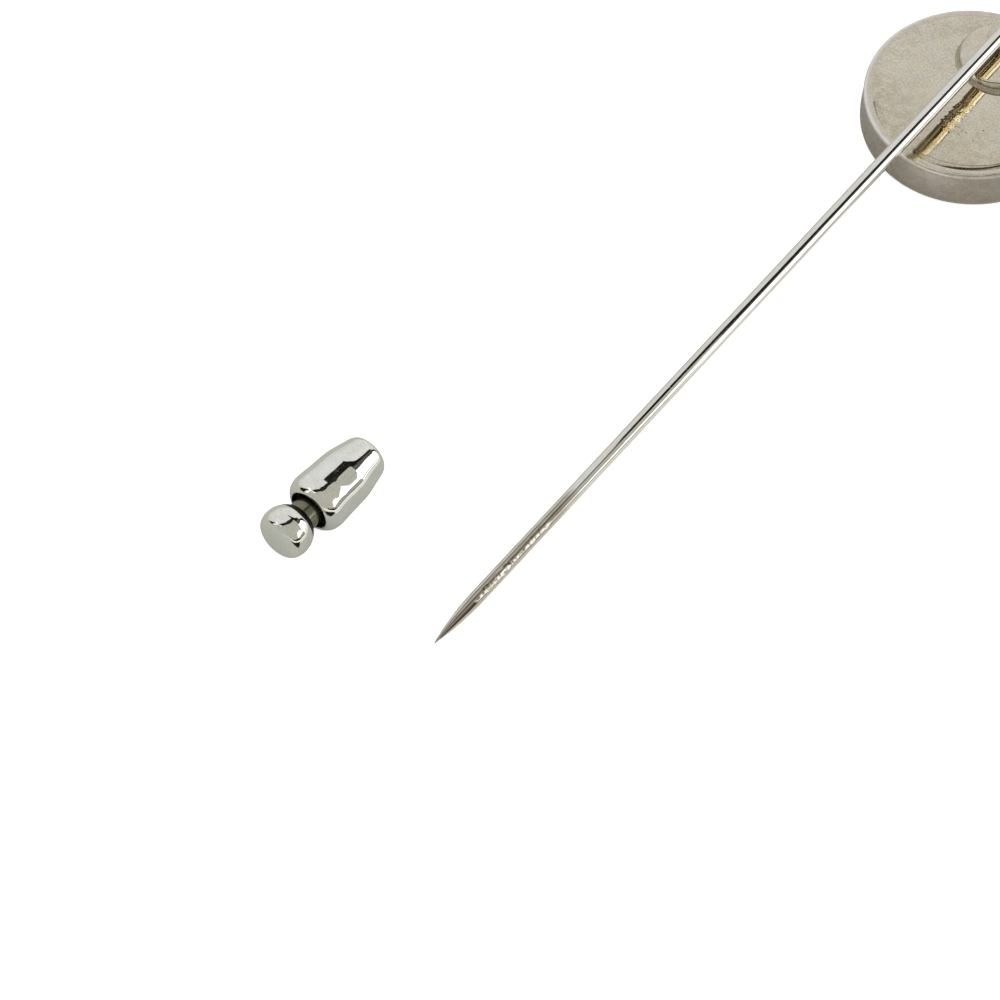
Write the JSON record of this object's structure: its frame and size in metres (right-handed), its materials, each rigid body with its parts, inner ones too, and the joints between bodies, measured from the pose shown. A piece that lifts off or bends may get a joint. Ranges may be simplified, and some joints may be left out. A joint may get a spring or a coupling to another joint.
{
  "type": "tie tack",
  "caption": "Stick pin with a round cup head, a long ground wire along its back, and a loose bullet-shaped clutch with a pull knob that releases its ball lock.",
  "frame": {"origin": "centre of the head's flat front face, which lies on the surface the pin is laid on", "axes": "+Z from the front face out of the head's back; the wire runs along -Y from the head to its point; the loose clutch lies on the -X side of the point"},
  "size_m": [0.0275, 0.0754, 0.0058],
  "materials": {
    "satin_nickel": "satin warm nickel plate",
    "polished_plate": "polished nickel plate with fine wear",
    "solder": "plated solder bead",
    "silver_wire": "bright drawn wire",
    "bright_nickel": "bright nickel plate",
    "dull_nickel": "duller nickel plate",
    "spring_steel": "bare steel",
    "brass": "bare brass",
    "ball_steel": "polished steel"
  },
  "bodies": {
    "pin": {"head_cup": "satin_nickel", "back_plate": "polished_plate", "pin_pad": "satin_nickel", "pad_braze": "solder", "pin_collar": "satin_nickel", "stem_braze": "solder", "pin_stem": "silver_wire"},
    "clutch_body": {"clutch_barrel": "bright_nickel", "entry_bush": "dull_nickel", "wedge_cone": "spring_steel", "retaining_collar": "dull_nickel", "release_spring": "spring_steel"},
    "clutch_plunger": {"ball_cage": "brass", "spring_washer": "brass", "neck_sleeve": "dull_nickel", "clutch_knob": "bright_nickel"},
    "lock_ball_1": {"locking_ball_1": "ball_steel"},
    "lock_ball_2": {"locking_ball_2": "ball_steel"},
    "lock_ball_3": {"locking_ball_3": "ball_steel"}
  },
  "joints": [
    {"name": "clutch_approach", "type": "slide", "parent": "pin", "child": "clutch_body", "axis": [0.6905, -0.7121, 0.1266], "range_m": [0, 0.02259]},
    {"name": "knob_pull", "type": "slide", "parent": "clutch_body", "child": "clutch_plunger", "axis": [-0.0499, -0.9988, 0], "range_m": [0, 0.0012], "stiffness_N_per_m": 1500, "springref_m": -0.0005, "deforming": ["release_spring"]},
    {"name": "ball_1_release", "type": "slide", "parent": "clutch_plunger", "child": "lock_ball_1", "axis": [0, 0, 1], "range_m": [0, 0.000256]},
    {"name": "ball_2_release", "type": "slide", "parent": "clutch_plunger", "child": "lock_ball_2", "axis": [0.8649, -0.0432, -0.5], "range_m": [0, 0.000256]},
    {"name": "ball_3_release", "type": "slide", "parent": "clutch_plunger", "child": "lock_ball_3", "axis": [-0.8649, 0.0432, -0.5], "range_m": [0, 0.000256]}
  ],
  "couplings": [
    {"joint": "ball_1_release", "follows": "knob_pull", "ratio": 0.21256},
    {"joint": "ball_2_release", "follows": "knob_pull", "ratio": 0.21256},
    {"joint": "ball_3_release", "follows": "knob_pull", "ratio": 0.21256}
  ]
}
